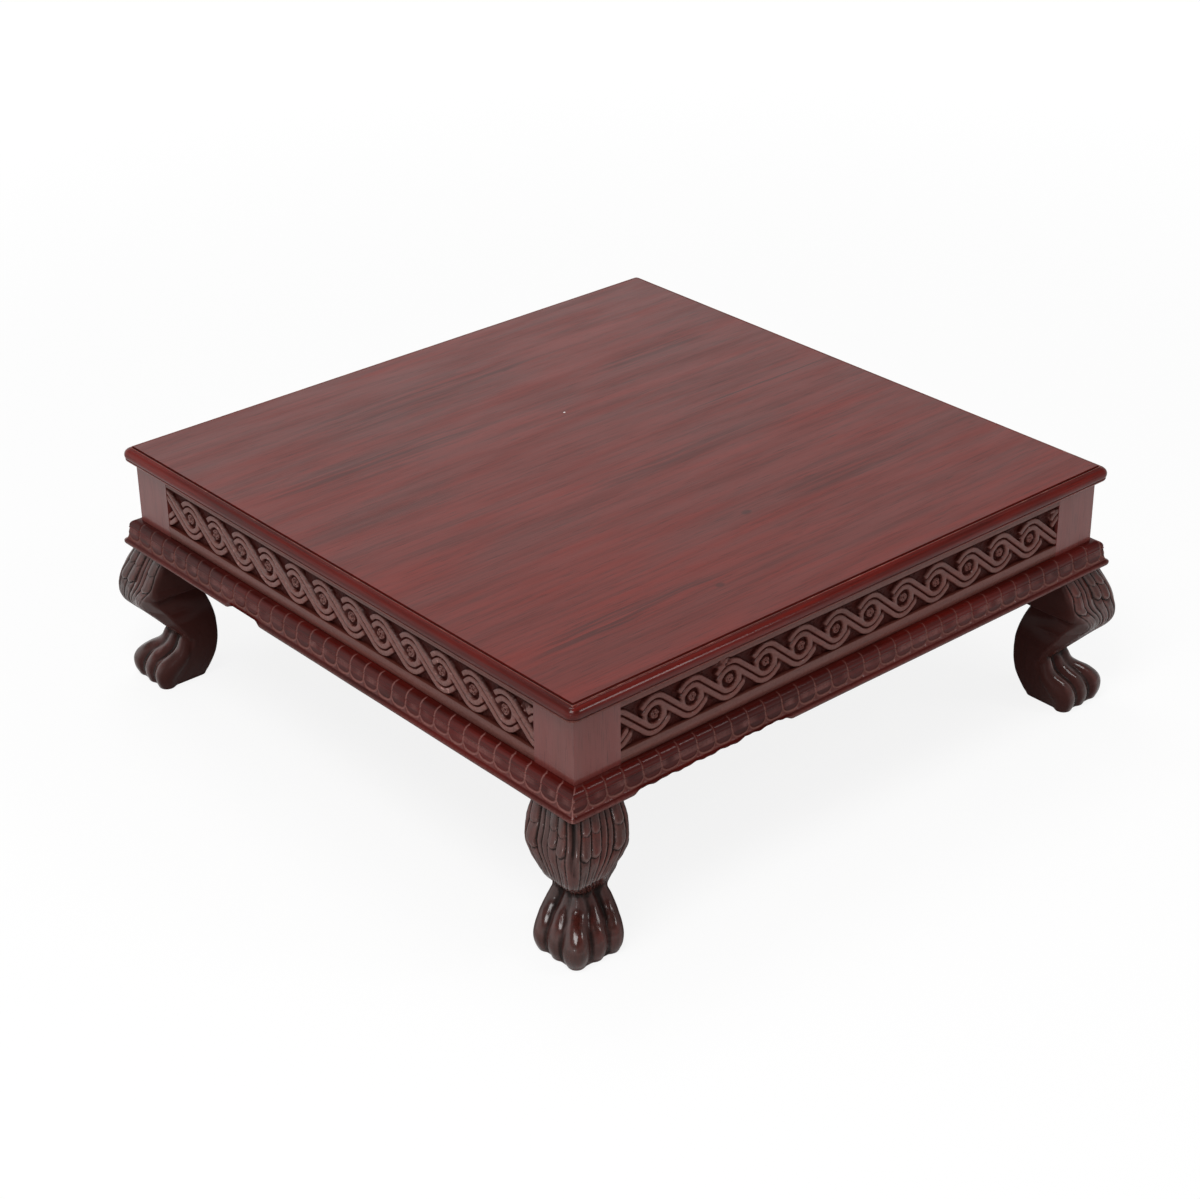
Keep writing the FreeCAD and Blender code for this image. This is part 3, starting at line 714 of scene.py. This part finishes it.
def base_place(seed, side):
    """What swept asks for a base moulding."""
    def place(station, k):
        out = base_section[k, 0] + 0 * station
        up = base_section[k, 1] + 0 * station
        along = mitred_run(station, out, BASE_RUN)
        seen = k < face_count
        distance = coin_distance(along, up, seed, LINE_PHASE[side])
        carved = seen & (up > BASE_FOOT + 5.0)
        inside = smooth(2.0, 6.0, out - np.abs(along))
        line = np.clip(1.5 - np.abs(distance) / LINE_REACH, 0, 1) * carved
        spandrel = smooth(0.0, 0.8, -distance) * (up < BASE_FOOT + 13.0) * carved
        fading = 1 - 0.6 * smooth(APRON_FOOT - 2.0, APRON_FOOT, up)
        cut = (LINE_DEPTH * line * fading + 0.25 * spandrel) * inside
        out = out - cut * section_normal[k, 0]
        up = up - cut * section_normal[k, 1]
        rub = worn_arris(along, side)
        reach = smooth(300.0, 309.5, out)
        share = np.clip(1 - (up - BASE_FOOT) / 6.0, 0, 1)
        up = up + rub * share * reach
        out = out - 0.35 * rub * share * reach * (out > 309.0)
        out = out + (value_noise(seed + 3, along, up, 38.0, 60.0) - 1) * 0.12 * seen
        along, out = corner_rounded(np.clip(along, -out, out), out, out - HALF_BASE + BASE_CORNER)
        # where the colour is lightened: a painted highlight along the facet, a painted reflection along the
        # foot, paler mitres (painted highlight and chipped wear), and paler lines on the left side
        facet = smooth(FACET_FOOT - 0.4, FACET_FOOT + 0.6, up) * smooth(BEAD_TOP - 0.2, BEAD_FOOT + 0.8, up)
        ridge = facet * np.clip(0.16 + 0.34 * value_noise(seed + 4, along, up, 8.0, 90.0), 0, 1)
        band = smooth(BASE_FOOT + 4.6, BASE_FOOT + 3.2, up) * (up > BASE_FOOT + 1.0) * 0.32
        chips = smooth(0.0, 0.5, value_noise(seed + 6, up, 0 * up, 2.6, 50.0))
        nick = 0.8 * smooth(2.2, 0.6, out - np.abs(along)) * chips
        pale = 0.8 * line * (side == "left") * smooth(-200.0, 120.0, along)
        wear_and_highlight = np.clip(ridge + band + 0.25 * spandrel + nick + pale, 0, 1) * seen
        return along, out, up, {"shade_and_lines": line * np.where(up > BASE_FOOT + 19.0, 0.55, 1.0), "wear_and_highlight": wear_and_highlight}
    return place


BASE_SEEDS = [40, 47, 54, 61]
base_stations = side_stations(26, 961)
for quarter, side in enumerate(SIDES):
    swept("coin_moulding_" + side, base_section, base_stations, base_place(BASE_SEEDS[quarter], side),
          quarter, moulding_finish.material, "base_moulding_" + side)


# Top edge: from the foot up a small lip, the nose, a hollow and a bead beside the panel
TONGUE = 5.0
TONGUE_FOOT = (APRON_TOP + TOP_LEVEL) / 2 - 2.0
TONGUE_TOP = TONGUE_FOOT + 4.0
EDGE_RUN = 285.0
EDGE_CORNER = 9.0
NOSE_FOOT = APRON_TOP + 2.7
NOSE_TOP = TOP_LEVEL - 3.4
BEAD_EDGE = 299.7
QUIRK = TOP_LEVEL - 1.6
edge_face = joined(
    arc_points((302.2, APRON_TOP), (303.9, APRON_TOP + 0.9), (304.3, APRON_TOP + 2.2), 8),
    line_points((304.3, APRON_TOP + 2.2), (303.9, NOSE_FOOT), 3),
    arc_points((303.9, NOSE_FOOT), (HALF_TOP, APRON_TOP + 5.6), (303.3, NOSE_TOP), 18),
    arc_points((303.3, NOSE_TOP), (301.8, TOP_LEVEL - 2.3), (BEAD_EDGE, TOP_LEVEL - 1.7), 9),
    arc_points((BEAD_EDGE, TOP_LEVEL - 1.7), (298.4, TOP_LEVEL - 0.6), (297.2, QUIRK), 11),
    line_points((297.2, QUIRK), (HALF_PANEL, QUIRK), 5),
)
edge_hidden = [(HALF_PANEL, TONGUE_TOP), (HALF_PANEL - TONGUE, TONGUE_TOP),
               (HALF_PANEL - TONGUE, TONGUE_FOOT), (HALF_PANEL, TONGUE_FOOT), (HALF_PANEL, APRON_TOP)]
edge_section = np.array(edge_face + edge_hidden)
edge_count = len(edge_face)


def edge_place(seed):
    """What swept asks for an edge of the top."""
    def place(station, k):
        out = edge_section[k, 0] + 0 * station
        up = edge_section[k, 1] + 0 * station
        along = mitred_run(station, out, EDGE_RUN)
        seen = k < edge_count
        wave = value_noise(seed, along, up, 45.0, 60.0) * 0.10 - 0.10
        out = out + wave * (seen & (out > HALF_PANEL + 0.3))
        along, out = corner_rounded(np.clip(along, -out, out), out, out - HALF_TOP + EDGE_CORNER)
        # painted shade in the quirk and in the crease at the nose's foot; painted highlights along the bead,
        # the lip and the mitred corners, the bead and corners broken up in patches like wear
        quirk = bump(out, HALF_PANEL + 0.6, 0.5) * (up > TOP_LEVEL - 2.2)
        nick = 0.7 * bump(up, NOSE_FOOT, 0.4) * (out > 301.0)
        chips = smooth(0.35, 0.8, value_noise(seed + 1, along, up, 9.0, 50.0))
        bead = bump(out, 298.2, 0.5) * (up > TOP_LEVEL - 2.2) * (0.35 + 0.65 * chips)
        lip = bump(up, APRON_TOP + 1.4, 0.9) * (out > 301.0) * 0.34
        corner = 0.7 * smooth(1.6, 0.4, out - np.abs(along)) * (up > TOP_LEVEL - 4.0) * chips
        return along, out, up, {"shade_and_lines": np.clip(quirk + nick, 0, 1) * seen,
                                "wear_and_highlight": np.clip(bead + lip + corner, 0, 1) * seen}
    return place


EDGE_SEEDS = [90, 95, 100, 105]
edge_stations = side_stations(16, 281)
for quarter, side in enumerate(SIDES):
    swept("moulded_edge_" + side, edge_section, edge_stations, edge_place(EDGE_SEEDS[quarter]), quarter,
          edge_finish.material, "top_edge_" + side)


# Legs
LEG_VOXEL = 0.8
TOE_FILL = 2.4
LEG_GRAIN_STEP = 3.0
# how far each carved face of the leg reaches from the corner: height, reach
FACE_WIDTHS = [(47.0, 29.7), (60.6, 32.0), (70.5, 33.6), (78.8, 35.8), (86.8, 41.0), (94.5, 48.0),
               (100.8, 54.0), (106.7, 57.5), (113.0, 57.0), (121.0, 54.0), (134.0, 48.0)]
# how much wider or narrower than the solid the knee's outline is: height, gain on each side
KNEE_OUTLINE = [(66.0, 0.0), (72.0, -0.6), (77.0, -1.4), (84.0, -0.5), (91.7, 0.6), (98.0, 0.0),
                (103.7, -0.9), (108.7, -0.8), (114.0, -0.3), (120.0, 0.3), (125.0, -0.2),
                (131.0, -1.3), (134.0, -1.8)]
# the knee's carving on each face, by place from the corner, 0, to the far edge, 1
KNEE_LINES = [(-1.5, 0.0, 0.045), (0.75, 0.112, 0.030), (-0.8, 0.162, 0.014), (-0.55, 0.334, 0.012),
              (-0.6, 0.515, 0.012), (0.7, 0.585, 0.030), (0.7, 0.685, 0.030), (-0.8, 0.635, 0.013),
              (-0.6, 0.735, 0.012), (0.5, 0.975, 0.025), (-0.4, 0.940, 0.010)]
LEAF_ROWS = [0.245, 0.420, 0.840]
LEAF_ROW_HALF = 0.090
# leaf tips: rise, place, half width, height, how much higher on the second face, sag
LEAF_TIPS = [(1.0, 0.245, 0.085, 118.5, 1.0, 3.0), (2.2, 0.250, 0.082, 104.5, -2.0, 3.2),
             (0.8, 0.420, 0.085, 120.0, -1.0, 3.0), (2.2, 0.415, 0.084, 107.5, -5.0, 3.2),
             (0.9, 0.840, 0.095, 117.5, 0.0, 2.6), (1.8, 0.835, 0.095, 100.0, 0.0, 2.6)]
LEAF_LENGTH = 13.0


def voxel_mesh(mesh):
    """An even mesh of small cells round a closed mesh, in metres."""
    work = bpy.data.objects.new("leg_work", mesh)
    bpy.context.scene.collection.objects.link(work)
    remesh = work.modifiers.new("even", "REMESH")
    remesh.mode = "VOXEL"
    remesh.voxel_size = LEG_VOXEL * MM
    depsgraph = bpy.context.evaluated_depsgraph_get()
    even = bpy.data.meshes.new_from_object(work.evaluated_get(depsgraph))
    points = np.empty(len(even.vertices) * 3)
    even.vertices.foreach_get("co", points)
    edges = np.empty(len(even.edges) * 2, dtype=np.int64)
    even.edges.foreach_get("vertices", edges)
    faces = [list(polygon.vertices) for polygon in even.polygons]
    bpy.data.objects.remove(work)
    bpy.data.meshes.remove(mesh)
    bpy.data.meshes.remove(even)
    return points.reshape(-1, 3) / MM, edges.reshape(-1, 2), faces


def dense_leg():
    """The solid leg as an even mesh at the front left corner, the clefts between its toes filled a little."""
    source = nodes["leg_front_left"]
    solid = source.data.copy()
    solid.transform(source.matrix_world)
    points, _, faces = voxel_mesh(solid)
    swell = TOE_FILL * smooth(58.0, 46.0, points[:, 2])
    swollen = points + vertex_normals(points, faces) * swell[:, None]
    thick = bpy.data.meshes.new("thick")
    thick.from_pydata((swollen * MM).tolist(), [], faces)
    points, edges, faces = voxel_mesh(thick)
    normals = vertex_normals(relaxed(points, edges, 1), faces)
    shrink = TOE_FILL * smooth(58.0, 46.0, points[:, 2])
    return points - normals * shrink[:, None], edges, faces


def relaxed(points, edges, rounds):
    """Each point drawn half way to the middle of its neighbours, so many times."""
    count = np.bincount(edges.ravel(), minlength=len(points))[:, None]
    for _ in range(rounds):
        total = np.zeros_like(points)
        for axis in range(3):
            total[:, axis] = (np.bincount(edges[:, 0], points[edges[:, 1], axis], len(points))
                              + np.bincount(edges[:, 1], points[edges[:, 0], axis], len(points)))
        points = points + (total / count - points) * 0.5
    return points


def vertex_normals(points, faces):
    """Each point's outward direction, from the faces round it."""
    quads = np.array([face if len(face) == 4 else face + face[-1:] for face in faces])
    across = np.cross(points[quads[:, 2]] - points[quads[:, 0]], points[quads[:, 3]] - points[quads[:, 1]])
    normals = np.zeros_like(points)
    for column in range(4):
        for axis in range(3):
            normals[:, axis] += np.bincount(quads[:, column], across[:, axis], len(points))
    return normals / np.maximum(np.linalg.norm(normals, axis=1), 1e-9)[:, None]


def leaf_tip(f, z, centre, half, tip, sag):
    """A leaf's round tip: it swells towards the tip and the ground drops away under it."""
    side = (f - centre) / half
    above = z - (tip + sag * side ** 2)
    within = 1 - smooth(0.86, 1.12, np.abs(side))
    crown = np.sqrt(np.clip(1 - 0.92 * side ** 2, 0, 1))
    fading = np.exp(-np.maximum(above, 0) / LEAF_LENGTH) * smooth(-0.4, 2.8, above)
    swell = np.where(above > 0, fading, 0.0) * crown
    under = np.where(above <= 0.4, -0.7 * np.exp(-np.abs(above) / 2.4), 0.0)
    return (swell + under) * within


def knee_carving(f, z, face):
    """Leaf carving of one face of the knee; f runs from the corner to the face's far edge, face is 0 or 1."""
    f = f + 0.010 * np.sin(z * 0.23 + 2 * face) + 0.008 * np.sin(z * 0.11 + 1.0)
    relief = 0.0 * f
    for rise, centre, width in KNEE_LINES:
        relief += rise * bump(f, centre, width)
    for centre in LEAF_ROWS:
        side = (f - centre) / LEAF_ROW_HALF
        relief += 1.5 * np.sqrt(np.clip(1 - side ** 2, 0, 1)) - 0.4 * bump(f, centre, 0.15)
    for rise, centre, half, tip, higher, sag in LEAF_TIPS:
        relief += rise * leaf_tip(f, z, centre, half, tip + higher * face, sag)
    veins = 0.07 * np.cos(f * 2 * math.pi / 0.060 + 0.6) * ((f > 0.17) & (f < 0.95))
    flutes = 0.55 * (1 - np.abs(((f - 0.17) / 0.088) % 1.0 - 0.5) * 2) ** 0.6 - 0.35
    lower = smooth(99.0 - 3 * face, 91.0, z)
    relief = relief * (1 - 0.55 * lower) + flutes * lower * ((f > 0.165) & (f < 0.97))
    return relief + veins


def face_share(points):
    """How far each point lies from the leg's corner, as a share of the face's reach."""
    heights, widths = zip(*FACE_WIDTHS)
    return np.abs(points[:, 0] - points[:, 1]) / np.interp(points[:, 2], heights, widths)


def knee_drawn(points, edges):
    """The far edges of the knee rounded over, and its outline drawn to an egg's."""
    z = points[:, 2]
    f = face_share(points)
    soft = smooth(82.0, 90.0, z) * smooth(133.0, 128.0, z) * smooth(0.60, 0.85, f)
    points = points + (relaxed(points, edges, 40) - points) * soft[:, None]
    levels, gains = zip(*KNEE_OUTLINE)
    aside = points[:, 0] - points[:, 1]
    drawn = np.sign(aside) * np.interp(z, levels, gains) * smooth(0.25, 1.0, f) / math.sqrt(2.0)
    points[:, 0] += drawn
    points[:, 1] -= drawn
    return points


def leg_mesh():
    """The leg of the front left corner with its carving, and its fields."""
    points, edges, faces = dense_leg()
    points = knee_drawn(relaxed(points, edges, 3), edges)
    normals = vertex_normals(points, faces)
    x, y, z = -points[:, 0], -points[:, 1], points[:, 2]
    f = face_share(points)
    outward = np.where(x > y, -normals[:, 0], -normals[:, 1])
    face = np.where(x > y, 0.0, 1.0)
    share = smooth(1.05, 0.96, f) * smooth(0.15, 0.45, outward)
    share = share * smooth(48.2, 51.0, z) * smooth(133.5, 131.0, z) * smooth(-0.93, -0.80, normals[:, 2])
    relief = knee_carving(f, z, face) * share
    # the gouge's facets on the paw
    facets = 0.30 * value_noise(71, x - 0.15 * z, y + 0.15 * z, 6.0, 7.0)
    facets = facets + 0.10 * value_noise(72, x - y, z, 2.8, 6.5) - 0.2
    facets = facets * smooth(1.0, 4.0, z) * smooth(62.0, 54.0, z)
    points = points + normals * (relief - 0.25 * share + facets)[:, None]
    # painted shade in the knee's carved cuts, lighter near the corner high up
    shade_and_lines = np.clip(-relief, 0, 1) * (1 - 0.75 * bump(f, 0.0, 0.06) * smooth(112.0, 106.0, z))
    # hollows and ridges, from how far each point lies in or out of its neighbours: painted shade in the
    # hollows and the clefts between the toes, and paler ridges, part painted highlight, part wear
    softened = relaxed(points, edges, 6)
    facing = vertex_normals(points, faces)
    bulge = np.einsum("ij,ij->i", points - softened, facing)
    hollow = np.clip(-bulge / 0.26, 0, 1)
    ridge = np.clip(bulge / 0.30 - 0.2, 0, 1)
    wide = relaxed(softened, edges, 14)
    wide_bulge = np.einsum("ij,ij->i", softened - wide, facing)
    cleft = np.clip(-wide_bulge / 0.35 - 0.15, 0, 1) * smooth(60.0, 50.0, z)
    flank = smooth(0.05, 0.55, np.maximum(normals[:, 0], normals[:, 1]))
    points[:, 2] = np.clip(points[:, 2], 0.0, BASE_FOOT)
    points[:, :2] = np.clip(points[:, :2], -HALF_KNEE, HALF_KNEE)
    shade_and_lines = np.maximum(np.maximum(shade_and_lines, hollow), cleft)
    return points, faces, {"shade_and_lines": shade_and_lines, "wear_and_highlight": ridge * 0.45, "bare": flank}


leg_points, leg_faces, leg_fields = leg_mesh()
for quarter, corner in enumerate(CORNERS):
    x, y = turned(leg_points[:, 0], leg_points[:, 1], quarter)
    z = leg_points[:, 2]
    fields = dict(leg_fields)
    fields["grain"] = np.stack([z, x + LEG_GRAIN_STEP * quarter, y], axis=-1) * MM
    make_piece("paw_leg_" + corner, np.stack([x, y, z], axis=-1), leg_faces, fields,
               leg_finish.material, "leg_" + corner)


# Floor, light and camera, in metres
FLOOR_REACH = 6.0
WHITE = rgb(1, 1, 1)
FLOOR_COLOUR = rgb(0.8, 0.8, 0.79)
FLOOR_SHADOW_COLOUR = rgb(0.13, 0.13, 0.13)
WORLD_STRENGTH = 0.44
CAMERA_PLACE = (-1.3408, -1.5374, 1.1961)
CAMERA_YAW = 49.1862
CAMERA_PITCH = 28.5254
CAMERA_ROLL = -0.6714
CAMERA_LENS = 77.99


def white_floor():
    """A floor that is white to the camera and keeps the shadow."""
    near, far = -FLOOR_REACH, FLOOR_REACH
    mesh = bpy.data.meshes.new("floor")
    mesh.from_pydata([(near, near, 0), (far, near, 0), (far, far, 0), (near, far, 0)], [], [(0, 1, 2, 3)])
    floor = bpy.data.objects.new("floor", mesh)
    bpy.context.scene.collection.objects.link(floor)
    finish = Finish("floor_finish")
    finish.tree.nodes.remove(finish.shader)
    path = finish.add("ShaderNodeLightPath")
    place = finish.add("ShaderNodeTexCoord").outputs["Object"]
    radius = finish.add("ShaderNodeVectorMath", {0: place}, operation="LENGTH").outputs["Value"]
    far_enough = finish.ramp(radius, 0.40, 0.80, 0.0, 0.9)
    glossy = finish.math("MULTIPLY", path.outputs["Is Glossy Ray"], far_enough)
    seen = finish.math("MAXIMUM", path.outputs["Is Camera Ray"], glossy)
    seen = finish.math("MAXIMUM", seen, path.outputs["Is Transmission Ray"])
    strength = finish.ramp(radius, 0.7, 2.4, 0.86, 0.93)
    glow = finish.add("ShaderNodeEmission", {"Color": WHITE, "Strength": strength})
    matt = finish.add("ShaderNodeBsdfDiffuse", {"Color": FLOOR_COLOUR})
    faint = finish.add("ShaderNodeBsdfDiffuse", {"Color": FLOOR_SHADOW_COLOUR})
    both = finish.add("ShaderNodeAddShader", {0: glow.outputs[0], 1: faint.outputs[0]})
    mixed = finish.add("ShaderNodeMixShader", {0: seen, 1: matt.outputs[0], 2: both.outputs[0]})
    finish.set(finish.tree.nodes["Material Output"], "Surface", mixed.outputs[0])
    mesh.materials.append(finish.material)


def studio_world():
    """A world that is white to the camera, and in reflections bright low down and duller overhead."""
    world = bpy.data.worlds.new("studio")
    bpy.context.scene.world = world
    world.use_nodes = True
    sky = Nodes(world.node_tree)
    path = sky.add("ShaderNodeLightPath")
    direction = sky.add("ShaderNodeTexCoord").outputs["Generated"]
    separate = sky.add("ShaderNodeSeparateXYZ", {0: direction})
    bearing = sky.math("SUBTRACT", separate.outputs[0], separate.outputs[1])
    dull = sky.ramp(separate.outputs[2], 0.40, 0.66, 1.0, 0.30)
    dull = sky.math("MULTIPLY", dull, sky.ramp(bearing, -1.0, 0.9, 1.25, 0.55))
    glossy = path.outputs["Is Glossy Ray"]
    seen = sky.math("MAXIMUM", path.outputs["Is Camera Ray"], path.outputs["Is Transmission Ray"])
    plain = sky.math("MAXIMUM", seen, WORLD_STRENGTH)
    plain = sky.math("MULTIPLY", plain, sky.math("SUBTRACT", 1.0, glossy))
    background = sky.tree.nodes["Background"]
    sky.set(background, "Strength", sky.math("ADD", plain, sky.math("MULTIPLY", glossy, dull)))
    sky.set(background, "Color", WHITE)


def area_light(name, place, target, size, power):
    """A square lamp, in metres and watts."""
    data = bpy.data.lights.new(name, "AREA")
    data.shape = "SQUARE"
    data.size = size
    data.energy = power
    light = bpy.data.objects.new(name, data)
    bpy.context.scene.collection.objects.link(light)
    light.location = place
    light.rotation_euler = (Vector(target) - Vector(place)).to_track_quat("-Z", "Y").to_euler()


def camera():
    """The photograph's viewpoint, found from the corners of the table."""
    yaw, pitch, roll = math.radians(CAMERA_YAW), math.radians(CAMERA_PITCH), math.radians(CAMERA_ROLL)
    level = Vector((math.cos(yaw), math.sin(yaw), 0.0))
    ahead = level * math.cos(pitch) - Vector((0.0, 0.0, math.sin(pitch)))
    right = Vector((math.sin(yaw), -math.cos(yaw), 0.0))
    up = right.cross(ahead)
    across = right * math.cos(roll) + up * math.sin(roll)
    above = up * math.cos(roll) - right * math.sin(roll)
    data = bpy.data.cameras.new("camera")
    data.sensor_fit = "HORIZONTAL"
    data.sensor_width = 36.0
    data.lens = CAMERA_LENS
    data.clip_end = 60.0
    viewer = bpy.data.objects.new("camera", data)
    bpy.context.scene.collection.objects.link(viewer)
    turn = Matrix((across, above, -ahead)).transposed().to_4x4()
    viewer.matrix_world = Matrix.Translation(CAMERA_PLACE) @ turn
    bpy.context.scene.camera = viewer


white_floor()
studio_world()
area_light("key", (-1.35, -0.75, 2.5), (0.0, 0.0, 0.15), 1.2, 41.5)
area_light("side", (1.2, -1.7, 1.8), (-0.1, -0.1, 0.1), 0.5, 6.5)
area_light("over", (0.3, 0.9, 2.6), (0.0, 0.0, 0.15), 0.9, 12.0)
area_light("low", (-2.1, -1.3, 0.75), (-0.2, -0.25, 0.1), 0.16, 1.8)
camera()
bpy.context.scene.view_settings.view_transform = "Standard"
